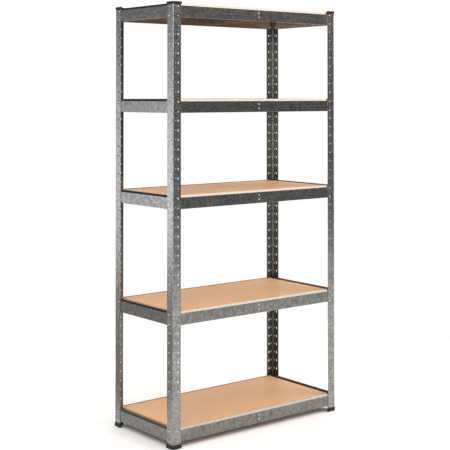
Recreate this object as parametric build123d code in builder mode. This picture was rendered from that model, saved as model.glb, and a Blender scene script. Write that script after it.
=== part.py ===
"""Five-tier boltless steel shelving: perforated angle posts, rim beams, centre bars and lift-off decks.

The shelving stands on Z = 0 with its origin on the floor at the middle of the footprint.
X runs along the shelves, Y from the front to the rear, Z up. Everything is in millimetres.
"""

from build123d import *
from math import sqrt
import os

os.makedirs("parts", exist_ok=True)

# Overall sizes, over the posts
frame_width = 900.0
frame_depth = 422.0
frame_height = 1800.0

# Angle posts, with one column of keyholes and one of tie holes in each flange
post_flange = 40.0
post_sheet = 1.5
post_bend = 3.0
keyhole_rows = 46
keyhole_pitch = 38.9
keyhole_from_corner = 26.5
keyhole_mouth_d = 6.0
keyhole_slot_w = 3.7
keyhole_drop = 4.4
tie_hole_from_corner = 13.0
tie_hole_d = 3.6

# Levels: the keyhole row, counted from the floor, that holds the upper rivets of each level
level_rows = [1, 13, 25, 35, 45]
top_rim_from_top = 7.0

# Beams: a flat face below a rim that leans in, folded down to a ledge for the deck
beam_face = 47.0
beam_rim = 9.0
beam_rim_lean = 3.4
beam_sheet = 0.9
beam_bend = 1.2
beam_foot = 9.0
ledge_long = 21.0
ledge_side = 32.0
ledge_lip = 6.0
beam_end_from_corner = 18.0
beam_to_post = 0.05
ledge_gap = 1.5

# Rivets
rivet_low = 4.5
rivet_shank_d = 3.4
rivet_hole_slack = 0.1
rivet_head_d = 5.4
rivet_head_t = 1.4
rivet_tail_d = 5.0
rivet_tail_t = 0.8

# Decks
deck_thickness = 6.0
deck_below_rim = 3.0
deck_edge_gap = 0.6
deck_on_side_ledge = 4.0

# Centre bars, from front to rear under each deck
bar_flange = 28.0
bar_height = 43.0
bar_sheet = 1.0
bar_gap = 0.6
bar_plate_w = 13.0
bar_rivet_above_low = 12.0
bar_rivet_below_high = 6.4

# Plastic feet and caps
foot_base = 3.0
foot_skirt = 14.0
foot_inner_skirt = 10.0
cap_top = 3.0
cap_skirt = 8.0
cap_inner_skirt = 3.0
plastic_wall = 2.2
plastic_fit = 0.15
plastic_round = 2.0

# Worked out from the sizes above
half_width = frame_width / 2
half_depth = frame_depth / 2
post_bottom = foot_base
post_length = frame_height - cap_top - foot_base
skin = post_sheet + beam_to_post
beam_height = beam_face + beam_rim
rim_depth = beam_rim_lean + 2 * beam_sheet
ledge_top = beam_height - deck_below_rim - deck_thickness
rivet_high = rivet_low + keyhole_pitch
top_seat = frame_height - top_rim_from_top - beam_height + rivet_high
keyhole_first_seat = top_seat - level_rows[-1] * keyhole_pitch
cope_from_corner = skin + ledge_side + ledge_gap
rivet_hole_d = rivet_shank_d + rivet_hole_slack
bar_plate_offset = (bar_plate_w - bar_sheet) / 2
bar_low = ledge_top - bar_height
bar_end_high = ledge_top - ledge_lip - bar_gap
bar_rivet_low = bar_low + bar_rivet_above_low
bar_rivet_high = bar_end_high - bar_rivet_below_high


def seat_height(row):
    """Height of the rivet seat at the foot of a keyhole row."""
    return keyhole_first_seat + row * keyhole_pitch


def beam_bottom(row):
    """Height of a level's lower edge when its upper rivets sit in a keyhole row."""
    return seat_height(row) - rivet_high


def corner_place(sign_x, sign_y, height):
    """Place of a post: x runs along one flange, y along the other, both away from the outer corner."""
    turn = {(-1, -1): 0, (1, -1): 90, (1, 1): 180, (-1, 1): 270}[(sign_x, sign_y)]
    return Location((sign_x * half_width, sign_y * half_depth, height), (0, 0, turn))


corners = {"front_left": (-1, -1), "front_right": (1, -1), "rear_right": (1, 1), "rear_left": (-1, 1)}

# Each side starts at the corner on its left, seen from outside
sides = {"front": "front_left", "right": "front_right", "rear": "rear_right", "left": "rear_left"}
spans = {"front": frame_width, "right": frame_depth, "rear": frame_width, "left": frame_depth}


def side_place(side, height):
    """Place of a beam: x runs along the side from its first corner, y inwards, z up."""
    return corner_place(*corners[sides[side]], height)


def finish(piece, name):
    """Label a finished piece and write its STEP file."""
    piece.part.label = name
    export_step(piece.part, "parts/" + name + ".step")


def angle_outline(reach, outside, inside, bend):
    """L-shaped outline, in post places: outside and inside are measured from the post's outer faces."""
    outer = bend + outside
    arc_mid = bend - outer / sqrt(2)
    with BuildLine() as outline:
        Line((reach, -outside), (bend, -outside))
        ThreePointArc((bend, -outside), (arc_mid, arc_mid), (-outside, bend))
        Polyline((-outside, bend), (-outside, reach), (inside, reach), (inside, inside), (reach, inside))
        Line((reach, inside), (reach, -outside))
    return outline


# ---------------------------------------------------------------- posts

seats = [(keyhole_from_corner, seat_height(row) - post_bottom) for row in range(keyhole_rows)]

with BuildPart() as post:
    with BuildSketch(Plane.XY):
        outline = angle_outline(post_flange, 0, post_sheet, post_bend)
        make_face(outline.edges())
    extrude(amount=post_length)
    for flange_face in (Plane.XZ, Plane.YZ):
        with BuildSketch(flange_face):
            with Locations(*seats):
                Circle(keyhole_slot_w / 2)
            with Locations(*[(x, z + keyhole_drop / 2) for x, z in seats]):
                Rectangle(keyhole_slot_w, keyhole_drop)
            with Locations(*[(x, z + keyhole_drop) for x, z in seats]):
                Circle(keyhole_mouth_d / 2)
            with Locations(*[(tie_hole_from_corner, z + keyhole_drop) for x, z in seats]):
                Circle(tie_hole_d / 2)
        extrude(amount=2 * post_sheet, both=True, mode=Mode.SUBTRACT)

for corner, signs in corners.items():
    with BuildPart() as placed_post:
        add(post.part.moved(corner_place(*signs, post_bottom)))
    finish(placed_post, "post_" + corner)


# ---------------------------------------------------------------- feet and caps

def shoe(base, outer_skirt, inner_skirt):
    """L-shaped plastic shoe with its base on z = 0 and a slot for the post end above the base."""
    outside = plastic_fit + plastic_wall
    inside = post_sheet + plastic_fit + plastic_wall
    reach = post_flange + plastic_fit + plastic_wall
    with BuildPart() as solid:
        with BuildSketch(Plane.XY):
            outline = angle_outline(reach, outside, inside, post_bend)
            make_face(outline.edges())
        extrude(amount=base + inner_skirt)
        with BuildSketch(Plane.XY.offset(base)):
            outline = angle_outline(reach, outside, -plastic_fit, post_bend)
            make_face(outline.edges())
        extrude(amount=outer_skirt)
        lowest = solid.faces().sort_by(Axis.Z)[0]
        fillet(lowest.outer_wire().edges(), plastic_round / 2)
        with BuildSketch(Plane.XY.offset(base)):
            outline = angle_outline(post_flange + plastic_fit, plastic_fit, post_sheet + plastic_fit, post_bend)
            make_face(outline.edges())
        extrude(amount=outer_skirt, mode=Mode.SUBTRACT)
    return solid


foot = shoe(foot_base, foot_skirt, foot_inner_skirt)
cap = shoe(cap_top, cap_skirt, cap_inner_skirt)

# A cap is a shoe turned over about the diagonal of its corner, so that its two arms change places.
flip_over = Location((0, 0, 0), (180, 0, -90))

for corner, signs in corners.items():
    with BuildPart() as placed_foot:
        add(foot.part.moved(corner_place(*signs, 0)))
    finish(placed_foot, "foot_" + corner)
    with BuildPart() as placed_cap:
        add(cap.part.moved(corner_place(*signs, frame_height) * flip_over))
    finish(placed_cap, "cap_" + corner)


# ---------------------------------------------------------------- beams

def beam(span, ledge, cope):
    """One beam from the side's first corner: face, leaning rim, fold, ledge with a lip, and a foot."""
    rim_top = beam_height - beam_sheet
    inner_wall = rim_depth - beam_sheet
    inner_lean = beam_sheet + beam_rim_lean * (beam_rim - beam_sheet) / beam_rim
    ledge_under = ledge_top - beam_sheet
    outline = [
        (beam_foot, 0),
        (0, 0),
        (0, beam_face),
        (beam_rim_lean, beam_height),
        (rim_depth, beam_height),
        (rim_depth, ledge_top),
        (ledge, ledge_top),
        (ledge, ledge_top - ledge_lip),
        (ledge - beam_sheet, ledge_top - ledge_lip),
        (ledge - beam_sheet, ledge_under),
        (inner_wall, ledge_under),
        (inner_wall, rim_top),
        (inner_lean, rim_top),
        (beam_sheet, beam_face),
        (beam_sheet, beam_sheet),
        (beam_foot, beam_sheet),
    ]
    length = span - 2 * beam_end_from_corner
    rivet_columns = [keyhole_from_corner, span - keyhole_from_corner]
    holes = [(x, z) for x in rivet_columns for z in (rivet_low, rivet_high)]
    if cope:
        holes += [(span / 2 + bar_plate_offset, z) for z in (bar_rivet_low, bar_rivet_high)]
    with BuildPart() as solid:
        with BuildSketch(Plane(origin=(beam_end_from_corner, skin, 0), x_dir=(0, 1, 0), z_dir=(1, 0, 0))) as section:
            with BuildLine():
                Polyline(*outline, close=True)
            make_face()
            bottom_bend = section.vertices().sort_by_distance((0, 0, 0))[0]
            fillet(bottom_bend, beam_bend)
        extrude(amount=length)
        with BuildSketch(Plane.XZ.offset(-skin)):
            with Locations(*holes):
                Circle(rivet_hole_d / 2)
        extrude(amount=-2 * beam_sheet, mode=Mode.SUBTRACT)
        if cope:
            cope_middle = skin + rim_depth + ledge / 2
            with BuildSketch(Plane.XY.offset(ledge_top - 2 * ledge_lip)):
                with Locations((cope_from_corner / 2, cope_middle), (span - cope_from_corner / 2, cope_middle)):
                    Rectangle(cope_from_corner, ledge)
            extrude(amount=3 * ledge_lip, mode=Mode.SUBTRACT)
    return solid


long_beam = beam(frame_width, ledge_long, cope=True)
side_beam = beam(frame_depth, ledge_side, cope=False)


# ---------------------------------------------------------------- centre bars

bar_start = skin + ledge_long + bar_gap
bar_plate_start = skin + beam_sheet

with BuildPart() as bar:
    with BuildSketch(Plane.XY.offset(ledge_top - bar_sheet)):
        with Locations(((bar_flange - bar_sheet) / 2, 0)):
            Rectangle(bar_flange, frame_depth - 2 * bar_start)
    extrude(amount=bar_sheet)
    with BuildSketch(Plane.YZ):
        with Locations((0, (bar_low + ledge_top) / 2)):
            Rectangle(frame_depth - 2 * bar_start, bar_height)
        with Locations((0, (bar_low + bar_end_high) / 2)):
            Rectangle(frame_depth - 2 * bar_plate_start, bar_end_high - bar_low)
    extrude(amount=bar_sheet / 2, both=True)
    for end in (-1, 1):
        plate_face = Plane.XZ.offset(-end * (half_depth - bar_plate_start - bar_sheet / 2))
        with BuildSketch(plate_face):
            with Locations((-end * bar_plate_offset, (bar_low + bar_end_high) / 2)):
                Rectangle(bar_plate_w, bar_end_high - bar_low)
            with Locations(*[(-end * bar_plate_offset, z) for z in (bar_rivet_low, bar_rivet_high)]):
                Circle(rivet_hole_d / 2, mode=Mode.SUBTRACT)
        extrude(amount=bar_sheet / 2, both=True)


# ---------------------------------------------------------------- rivets

def rivet(grip):
    """One rivet along +z: its round head ends on z = 0 and its tail starts at z = grip."""
    head = rivet_head_d / 2
    shank = rivet_shank_d / 2
    with BuildPart() as solid:
        with BuildSketch(Plane.XZ):
            with BuildLine():
                ThreePointArc((0, -rivet_head_t), (head * 0.72, -rivet_head_t * 0.68), (head, 0))
                Polyline((head, 0), (shank, 0), (shank, grip), (rivet_tail_d / 2, grip))
                Line((rivet_tail_d / 2, grip), (rivet_tail_d / 2, grip + rivet_tail_t))
                Polyline((rivet_tail_d / 2, grip + rivet_tail_t), (0, grip + rivet_tail_t), (0, -rivet_head_t))
            make_face()
        revolve(axis=Axis.Z)
    return solid


post_rivet = rivet(skin + beam_sheet)
bar_rivet = rivet(beam_sheet + bar_sheet)


def facing_in(x, y, z):
    """Place on the outer face of a side with +z pointing inwards."""
    return Location((x, y, z), (-90, 0, 0))


def level_rivets(height):
    """Every rivet of one level: two at each beam end and two at each end of the centre bar."""
    places = []
    for side, span in spans.items():
        for x in (keyhole_from_corner, span - keyhole_from_corner):
            for z in (rivet_low, rivet_high):
                places.append(post_rivet.part.moved(side_place(side, height) * facing_in(x, 0, z)))
        if side in ("front", "rear"):
            across = span / 2 + bar_plate_offset
            for z in (bar_rivet_low, bar_rivet_high):
                places.append(bar_rivet.part.moved(side_place(side, height) * facing_in(across, skin, z)))
    return places


# ---------------------------------------------------------------- levels

deck_x = frame_width - 2 * (skin + ledge_side - deck_on_side_ledge)
deck_y = frame_depth - 2 * (skin + rim_depth + deck_edge_gap)

with BuildPart() as deck:
    with BuildSketch(Plane.XY.offset(ledge_top)):
        Rectangle(deck_x, deck_y)
    extrude(amount=deck_thickness)

for number, row in enumerate(level_rows, start=1):
    height = beam_bottom(row)
    for side in sides:
        with BuildPart() as placed_beam:
            template = long_beam if side in ("front", "rear") else side_beam
            add(template.part.moved(side_place(side, height)))
        finish(placed_beam, "beam_" + side + "_" + str(number))
    with BuildPart() as placed_bar:
        add(bar.part.moved(Location((0, 0, height))))
    finish(placed_bar, "centre_bar_" + str(number))
    with BuildPart() as placed_deck:
        add(deck.part.moved(Location((0, 0, height))))
    finish(placed_deck, "deck_" + str(number))
    with BuildPart() as placed_rivets:
        add(level_rivets(height))
    finish(placed_rivets, "rivets_" + str(number))
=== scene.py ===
import math

import bpy
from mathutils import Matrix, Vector


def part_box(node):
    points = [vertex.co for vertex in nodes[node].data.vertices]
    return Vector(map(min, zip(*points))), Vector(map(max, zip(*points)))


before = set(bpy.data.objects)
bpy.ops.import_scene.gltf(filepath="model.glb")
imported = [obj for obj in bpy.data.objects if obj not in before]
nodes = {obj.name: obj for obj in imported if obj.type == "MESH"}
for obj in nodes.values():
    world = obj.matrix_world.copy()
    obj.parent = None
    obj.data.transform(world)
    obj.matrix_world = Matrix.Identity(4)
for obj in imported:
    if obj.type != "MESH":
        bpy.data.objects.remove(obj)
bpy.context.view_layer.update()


def half_size(name, axis):
    """How far a CAD node reaches from the middle of the footprint along an axis."""
    low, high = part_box(name)
    return max(abs(low[axis]), abs(high[axis]))


# The outer faces of the posts
half_x = half_size("post_front_left", 0)
half_y = half_size("post_front_left", 1)


def srgb(*rgb):
    """Linear colour from 0 to 255 values."""
    values = [c / 255 for c in rgb]
    return tuple(c / 12.92 if c <= 0.04045 else ((c + 0.055) / 1.055) ** 2.4 for c in values) + (1.0,)


class Tree:
    """Short calls for building a node tree."""

    def __init__(self, tree):
        self.tree = tree
        self.tree.nodes.clear()

    def add(self, kind, **settings):
        node = self.tree.nodes.new(kind)
        for key, value in settings.items():
            setattr(node, key, value)
        return node

    def link(self, source, target):
        if hasattr(source, "is_output"):
            self.tree.links.new(source, target)
        else:
            target.default_value = source

    def math(self, operation, a, b=0.0, c=0.0):
        node = self.add("ShaderNodeMath", operation=operation)
        for value, socket in zip((a, b, c), node.inputs):
            self.link(value, socket)
        return node.outputs[0]

    def remap(self, value, low, high, to_low, to_high):
        node = self.add("ShaderNodeMapRange", interpolation_type="SMOOTHSTEP")
        for item, socket in zip((value, low, high, to_low, to_high), node.inputs):
            self.link(item, socket)
        return node.outputs[0]

    def mix(self, factor, a, b):
        node = self.add("ShaderNodeMix", data_type="RGBA")
        self.link(factor, node.inputs[0])
        self.link(a, node.inputs[6])
        self.link(b, node.inputs[7])
        return node.outputs[2]

    def noise(self, place, scale, detail=3.0, rough=0.5):
        node = self.add("ShaderNodeTexNoise")
        self.link(place, node.inputs["Vector"])
        node.inputs["Scale"].default_value = scale
        node.inputs["Detail"].default_value = detail
        node.inputs["Roughness"].default_value = rough
        return node.outputs["Fac"]

    def stretched(self, place, scale):
        node = self.add("ShaderNodeMapping")
        self.link(place, node.inputs["Vector"])
        node.inputs["Scale"].default_value = scale
        return node.outputs[0]

    def bump(self, height, strength, distance):
        node = self.add("ShaderNodeBump")
        node.inputs["Strength"].default_value = strength
        node.inputs["Distance"].default_value = distance
        self.link(height, node.inputs["Height"])
        return node.outputs[0]


def surface(name):
    """A new material, its tree, its Principled node and its object coordinates."""
    material = bpy.data.materials.new(name)
    material.use_nodes = True
    tree = Tree(material.node_tree)
    shader = tree.add("ShaderNodeBsdfPrincipled")
    output = tree.add("ShaderNodeOutputMaterial")
    tree.tree.links.new(shader.outputs[0], output.inputs[0])
    place = tree.add("ShaderNodeTexCoord").outputs["Object"]
    return material, tree, shader.inputs, place


# Painted shade on the inner faces of the posts
painted_post_shade = srgb(74, 66, 54)
# Painted reflection of the boards on the inner faces of the beams
painted_board_reflection = srgb(176, 160, 144)
rim_tone = srgb(124, 122, 118)


def galvanised(name, dull, bright, inner_shade=0.0, painted_reflection=0.0):
    """Zinc coat: crystal patches that differ a little in tone, gloss and slope, with slow changes of tone.

    inner_shade paints shade on the inner faces of a post, all but its bend. The strength given for a beam
    paints a warm, pale reflection of the boards on its inner faces, and evens the tone of its leaning rim.
    """
    material, tree, inputs, place = surface(name)
    warp = tree.add("ShaderNodeTexNoise")
    tree.link(place, warp.inputs["Vector"])
    warp.inputs["Scale"].default_value = 60.0
    moved = tree.add("ShaderNodeMixRGB")
    moved.inputs[0].default_value = 0.012
    tree.link(place, moved.inputs[1])
    tree.link(warp.outputs["Color"], moved.inputs[2])
    cells = tree.add("ShaderNodeTexVoronoi")
    tree.link(moved.outputs[0], cells.inputs["Vector"])
    cells.inputs["Scale"].default_value = 120.0
    split = tree.add("ShaderNodeSeparateColor")
    tree.link(cells.outputs["Color"], split.inputs[0])
    broad = tree.noise(place, 40.0, 6.0, 0.7)
    fine = tree.noise(place, 900.0, 2.0)
    tone = tree.math("MULTIPLY_ADD", broad, 0.62, tree.math("MULTIPLY", split.outputs[0], 0.38))
    colour = tree.mix(tree.remap(tone, 0.3, 0.7, 0.0, 1.0), srgb(*dull), srgb(*bright))
    # Painted shade: a post's inner faces turn dark, all but the bend
    if inner_shade:
        split_place = tree.add("ShaderNodeSeparateXYZ")
        tree.link(place, split_place.inputs[0])
        from_side = tree.math("SUBTRACT", half_x, tree.math("ABSOLUTE", split_place.outputs[0]))
        from_face = tree.math("SUBTRACT", half_y, tree.math("ABSOLUTE", split_place.outputs[1]))
        inside = tree.remap(tree.math("MINIMUM", from_side, from_face), 0.0006, 0.0011, 0.0, 1.0)
        bend = tree.remap(tree.math("MAXIMUM", from_side, from_face), 0.003, 0.006, 0.0, 1.0)
        shade = tree.math("MULTIPLY", tree.math("MULTIPLY", inside, bend), inner_shade)
        colour = tree.mix(shade, colour, painted_post_shade)
    if painted_reflection:
        normal = tree.add("ShaderNodeNewGeometry").outputs["Normal"]
        slope = tree.add("ShaderNodeSeparateXYZ")
        tree.link(normal, slope.inputs[0])
        past_upright = tree.remap(slope.outputs[2], 0.15, 0.25, 0.0, 1.0)
        short_of_level = tree.remap(slope.outputs[2], 0.5, 0.6, 1.0, 0.0)
        leaning = tree.math("MULTIPLY", past_upright, short_of_level)
        colour = tree.mix(tree.math("MULTIPLY", leaning, 0.85), colour, rim_tone)
        # Painted reflection of the boards: a beam's inner faces turn warm and pale
        facing = tree.add("ShaderNodeVectorMath", operation="MULTIPLY")
        tree.link(normal, facing.inputs[0])
        tree.link(place, facing.inputs[1])
        sides = tree.add("ShaderNodeSeparateXYZ")
        tree.link(facing.outputs[0], sides.inputs[0])
        outwards = tree.math("ADD", sides.outputs[0], sides.outputs[1])
        reflection_mask = tree.remap(outwards, -0.15, -0.05, painted_reflection, 0.0)
        colour = tree.mix(reflection_mask, colour, painted_board_reflection)
    tree.link(colour, inputs["Base Color"])
    inputs["Metallic"].default_value = 0.94
    gloss = tree.math("MULTIPLY_ADD", split.outputs[1], 0.03, 0.2)
    tree.link(tree.math("MULTIPLY_ADD", broad, 0.05, gloss), inputs["Roughness"])
    height = tree.math("MULTIPLY_ADD", split.outputs[2], 0.5, tree.math("MULTIPLY", fine, 0.25))
    height = tree.math("MULTIPLY_ADD", cells.outputs["Distance"], 4.0, height)
    tree.link(tree.bump(height, 0.012, 0.001), inputs["Normal"])
    return material


def board():
    """Pressed fibreboard: smooth tan with pressed fibres and slow changes of tone."""
    material, tree, inputs, place = surface("deck_board")
    slow = tree.noise(place, 5.0, 3.0)
    fibres = tree.noise(tree.stretched(place, (1.0, 1.35, 1.0)), 420.0, 5.0, 0.65)
    flecks = tree.noise(tree.stretched(place, (1.0, 3.0, 1.0)), 130.0, 4.0, 0.7)
    tone = tree.math("MULTIPLY_ADD", fibres, 0.75, tree.math("MULTIPLY", slow, 0.25))
    colour = tree.mix(tree.remap(tone, 0.3, 0.7, 0.0, 1.0), srgb(198, 153, 110), srgb(216, 172, 128))
    colour = tree.mix(tree.remap(flecks, 0.62, 0.78, 0.0, 0.35), colour, srgb(158, 116, 82))
    tree.link(colour, inputs["Base Color"])
    tree.link(tree.math("MULTIPLY_ADD", fibres, 0.15, 0.42), inputs["Roughness"])
    tree.link(tree.bump(fibres, 0.08, 0.0006), inputs["Normal"])
    return material


def plastic():
    """Moulded black plastic with a faint grain."""
    material, tree, inputs, place = surface("black_plastic")
    grain = tree.noise(place, 1600.0, 2.0)
    inputs["Base Color"].default_value = srgb(22, 22, 23)
    inputs["Specular IOR Level"].default_value = 0.3
    tree.link(tree.math("MULTIPLY_ADD", grain, 0.15, 0.42), inputs["Roughness"])
    tree.link(tree.bump(grain, 0.15, 0.0002), inputs["Normal"])
    return material


post_steel = galvanised("galvanised_posts", (125, 126, 128), (156, 155, 151), 0.6)
beam_steel = galvanised("galvanised_beams", (107, 108, 110), (135, 134, 130), painted_reflection=0.8)
rivet_steel = galvanised("zinc_rivets", (205, 204, 200), (228, 227, 222))
wood = board()
black = plastic()


def paint(node, material):
    """Gives a CAD node its only material."""
    node.data.materials.clear()
    node.data.materials.append(material)


def dress(node, material, edge):
    """Gives a CAD node its material and softly rounded, evenly shaded edges."""
    paint(node, material)
    bevel = node.modifiers.new("edges", "BEVEL")
    bevel.width = edge
    bevel.segments = 2
    bevel.limit_method = "ANGLE"
    bevel.angle_limit = math.radians(40)
    bevel.harden_normals = True


steels = {"post": post_steel, "centre": beam_steel, "rivets": rivet_steel}

for name, node in nodes.items():
    if name.startswith("deck_"):
        dress(node, wood, 0.0007)
    elif name.startswith(("foot_", "cap_")):
        dress(node, black, 0.0005)
    elif name.startswith("beam_"):
        dress(node, beam_steel, 0.0003)
    else:
        paint(node, steels[name.split("_")[0]])

# ---------------------------------------------------------------- floor

bpy.ops.mesh.primitive_plane_add(size=8, location=(0, 0, 0))
floor = bpy.context.object
floor.name = "studio_floor"
material, tree, inputs, place = surface("studio_floor")
path = tree.add("ShaderNodeLightPath")
direct = tree.math("MAXIMUM", path.outputs["Is Camera Ray"], path.outputs["Is Glossy Ray"])
split = tree.add("ShaderNodeSeparateXYZ")
tree.link(place, split.inputs[0])
# Painted shade: for glossy rays only, the floor behind on the left turns dark, so the metal reflects a
# darker floor there
reflected_floor_shade = tree.remap(tree.math("SUBTRACT", split.outputs[1], split.outputs[0]), 0.7, 1.6, 0.0, 1.0)
reflected_floor_shade = tree.math("MULTIPLY", reflected_floor_shade, path.outputs["Is Glossy Ray"])
floor_colour_and_shade = tree.mix(reflected_floor_shade, (0.86, 0.85, 0.83, 1), (0.36, 0.345, 0.32, 1))
tree.link(tree.mix(direct, (0.78, 0.76, 0.73, 1), floor_colour_and_shade), inputs["Base Color"])
inputs["Roughness"].default_value = 0.9
inputs["Specular IOR Level"].default_value = 0.1
length = tree.add("ShaderNodeVectorMath", operation="LENGTH")
tree.link(place, length.inputs[0])
fade = tree.remap(length.outputs["Value"], 0.75, 2.2, 0.0, 1.0)
fade = tree.math("MULTIPLY", fade, path.outputs["Is Camera Ray"])
glow = tree.add("ShaderNodeEmission")
blend = tree.add("ShaderNodeMixShader")
shaders = {node.bl_idname: node for node in tree.tree.nodes}
tree.link(fade, blend.inputs[0])
tree.tree.links.new(shaders["ShaderNodeBsdfPrincipled"].outputs[0], blend.inputs[1])
tree.tree.links.new(glow.outputs[0], blend.inputs[2])
tree.tree.links.new(blend.outputs[0], shaders["ShaderNodeOutputMaterial"].inputs[0])
floor.data.materials.append(material)

# ---------------------------------------------------------------- light

world = bpy.data.worlds.new("studio")
bpy.context.scene.world = world
world.use_nodes = True
tree = Tree(world.node_tree)
direction = tree.add("ShaderNodeTexCoord").outputs["Generated"]


def lobe(towards, inner, outer, strength):
    """A soft patch of light round a direction: full inside the inner angle, none outside the outer."""
    dot = tree.add("ShaderNodeVectorMath", operation="DOT_PRODUCT")
    tree.link(direction, dot.inputs[0])
    dot.inputs[1].default_value = Vector(towards).normalized()
    edge = math.cos(math.radians(outer))
    core = math.cos(math.radians(inner))
    return tree.remap(dot.outputs["Value"], edge, core, 0.0, strength)


# An even level of light, then brighter and darker patches, each with its inner and outer angle in degrees
light = 0.62
for patch in (
    lobe((-0.624, 0.781, -0.085), 4, 9, 2.9),  # small and bright, behind on the left, just below level
    lobe((-0.76, -0.65, 0.0), 8, 24, 4.2),  # bright, front left, level
    lobe((-0.66, 0.74, 0.06), 20, 40, -0.32),  # darker, behind on the left
    lobe((0, 0, 1), 25, 70, 1.0),  # overhead
    lobe((-0.75, -0.35, 0.25), 20, 60, 0.5),  # wide and soft, left
    lobe((-0.47, 0.78, 0.55), 14, 24, -0.8),  # darker, high behind
    lobe((0.66, -0.75, 0.0), 22, 40, -0.44),  # darker, front right
):
    light = tree.math("ADD", light, patch)
light = tree.math("MAXIMUM", light, 0.02)
warm_box = lobe((0.62, -0.60, 0.49), 17, 20, 4.6)
soft = tree.add("ShaderNodeBackground")
soft.inputs["Color"].default_value = (0.97, 0.98, 1.0, 1)
tree.link(light, soft.inputs["Strength"])
warm = tree.add("ShaderNodeBackground")
warm.inputs["Color"].default_value = (1.0, 0.87, 0.76, 1)
tree.link(warm_box, warm.inputs["Strength"])
studio = tree.add("ShaderNodeAddShader")
tree.tree.links.new(soft.outputs[0], studio.inputs[0])
tree.tree.links.new(warm.outputs[0], studio.inputs[1])
white = tree.add("ShaderNodeBackground")
white.inputs["Color"].default_value = (1, 1, 1, 1)
path = tree.add("ShaderNodeLightPath")
# Glossy rays are left out, so the metal shows the patches and not the white background
seen = tree.math("MAXIMUM", path.outputs["Is Camera Ray"], path.outputs["Is Transmission Ray"])
choice = tree.add("ShaderNodeMixShader")
tree.link(seen, choice.inputs[0])
tree.tree.links.new(studio.outputs[0], choice.inputs[1])
tree.tree.links.new(white.outputs[0], choice.inputs[2])
tree.tree.links.new(choice.outputs[0], tree.add("ShaderNodeOutputWorld").inputs[0])


def lamp(name, place, target, width, height, power):
    """A rectangular lamp at place that faces target."""
    data = bpy.data.lights.new(name, "AREA")
    data.shape = "RECTANGLE"
    data.size = width
    data.size_y = height
    data.energy = power
    lamp = bpy.data.objects.new(name, data)
    bpy.context.collection.objects.link(lamp)
    lamp.location = place
    lamp.rotation_euler = (Vector(target) - Vector(place)).to_track_quat("-Z", "Y").to_euler()
    return lamp


lamp("key", (-3.2, -2.6, 3.2), (0, 0, 0.8), 2.0, 2.0, 46)

# ---------------------------------------------------------------- camera

data = bpy.data.cameras.new("camera")
data.lens = 88.4
data.sensor_width = 36
data.shift_y = -0.336
data.clip_end = 200
camera = bpy.data.objects.new("camera", data)
bpy.context.collection.objects.link(camera)
camera.location = (-3.061, -3.817, 1.419)
camera.rotation_euler = (math.radians(91.12), 0, math.radians(-38.60))
bpy.context.scene.camera = camera
bpy.context.scene.view_settings.view_transform = "Standard"
